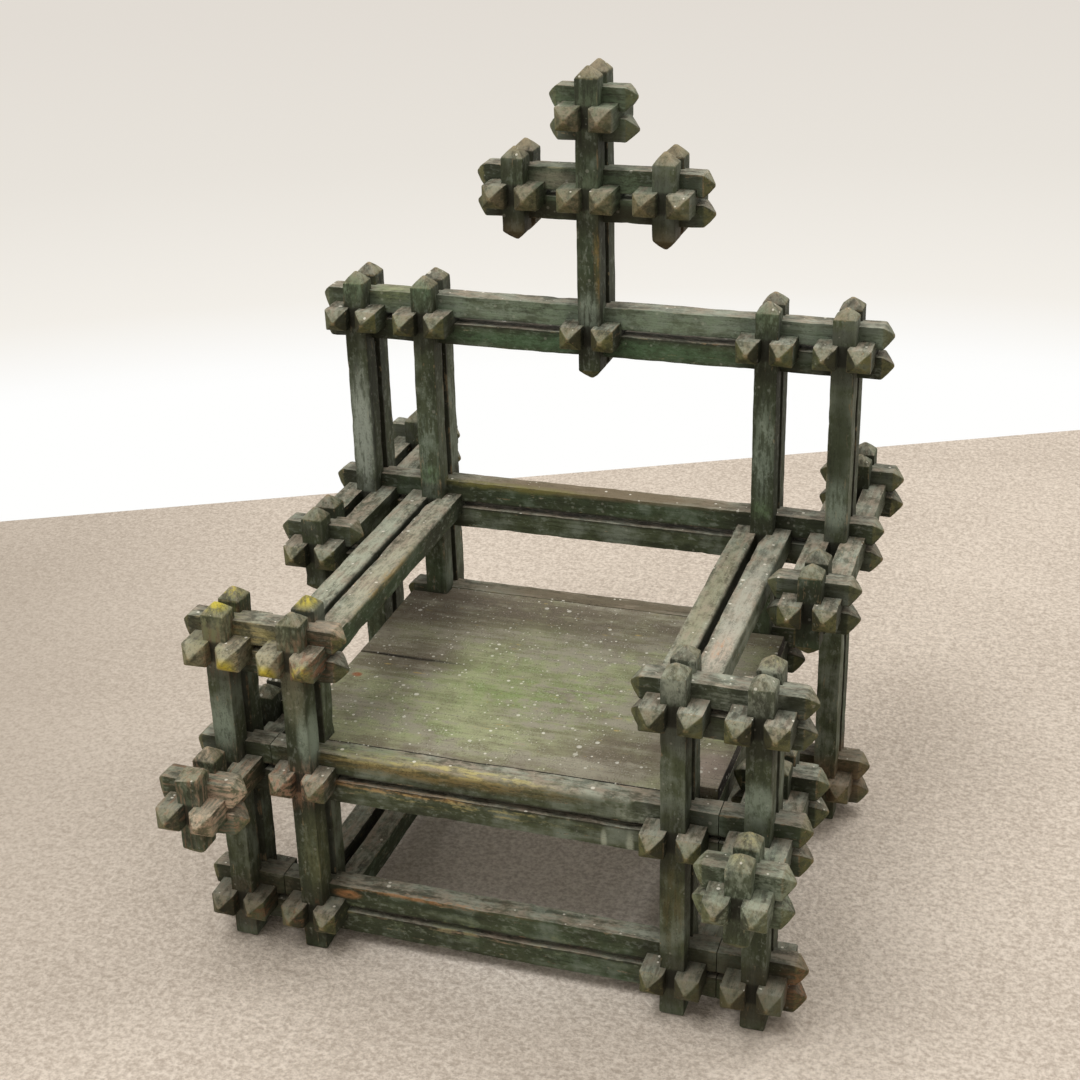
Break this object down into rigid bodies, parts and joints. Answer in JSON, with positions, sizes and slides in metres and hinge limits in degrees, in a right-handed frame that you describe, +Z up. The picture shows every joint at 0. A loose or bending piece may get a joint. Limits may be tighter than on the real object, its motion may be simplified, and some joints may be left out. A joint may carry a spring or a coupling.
{
  "type": "childs chair",
  "caption": "Low square armchair of paired wooden sticks crossed in notched joints with pyramid ends, with a plank seat, level arms, side clusters of short sticks and a stepped crest.",
  "frame": {"origin": "centre of the bounding box's base, on the floor under the chair", "axes": "+Z up, -Y towards the front of the chair, +X to the right as seen from the front"},
  "size_m": [0.611, 0.689, 0.805],
  "materials": {
    "painted_stick": "dark green paint, dull and worn to bare wood on edges and ends",
    "seat_board": "green paint, dull, thin and speckled with white"
  },
  "bodies": {
    "root": {"front_left_outer_post": "painted_stick", "front_left_inner_post": "painted_stick", "front_right_inner_post": "painted_stick", "front_right_outer_post": "painted_stick", "back_left_outer_post": "painted_stick", "back_left_inner_post": "painted_stick", "back_right_inner_post": "painted_stick", "back_right_outer_post": "painted_stick", "front_bottom_rail": "painted_stick", "front_bottom_rail_end_left": "painted_stick", "front_bottom_rail_end_right": "painted_stick", "back_bottom_rail": "painted_stick", "bottom_side_rail_left": "painted_stick", "bottom_side_rail_right": "painted_stick", "front_foot_stub_left": "painted_stick", "front_foot_stub_right": "painted_stick", "back_foot_stub_left": "painted_stick", "back_foot_stub_right": "painted_stick", "front_seat_rail": "painted_stick", "front_seat_rail_end_left": "painted_stick", "front_seat_rail_end_right": "painted_stick", "back_seat_rail": "painted_stick", "seat_side_rail_left": "painted_stick", "seat_side_rail_right": "painted_stick", "seat_outrigger_left": "painted_stick", "seat_outrigger_right": "painted_stick", "seat_front_burr_left": "painted_stick", "seat_front_burr_right": "painted_stick", "seat_rear_burr_left": "painted_stick", "seat_rear_burr_right": "painted_stick", "seat_board": "seat_board", "front_arm_rail_left": "painted_stick", "front_arm_rail_right": "painted_stick", "arm_left": "painted_stick", "arm_right": "painted_stick", "front_arm_stub_left": "painted_stick", "front_arm_stub_right": "painted_stick", "back_arm_rail": "painted_stick", "arm_outrigger_left": "painted_stick", "arm_outrigger_right": "painted_stick", "arm_front_burr_left": "painted_stick", "arm_front_burr_right": "painted_stick", "arm_rear_burr_left": "painted_stick", "arm_rear_burr_right": "painted_stick", "top_rail": "painted_stick", "top_stub_outer_left": "painted_stick", "top_stub_inner_left": "painted_stick", "top_stub_centre": "painted_stick", "top_stub_inner_right": "painted_stick", "top_stub_outer_right": "painted_stick", "finial_post": "painted_stick", "crossbar": "painted_stick", "crossbar_stub_left": "painted_stick", "crossbar_stub_centre": "painted_stick", "crossbar_stub_right": "painted_stick", "crossbar_upright_left": "painted_stick", "crossbar_upright_right": "painted_stick", "crown_bar": "painted_stick", "crown_stub": "painted_stick"}
  },
  "joints": []
}
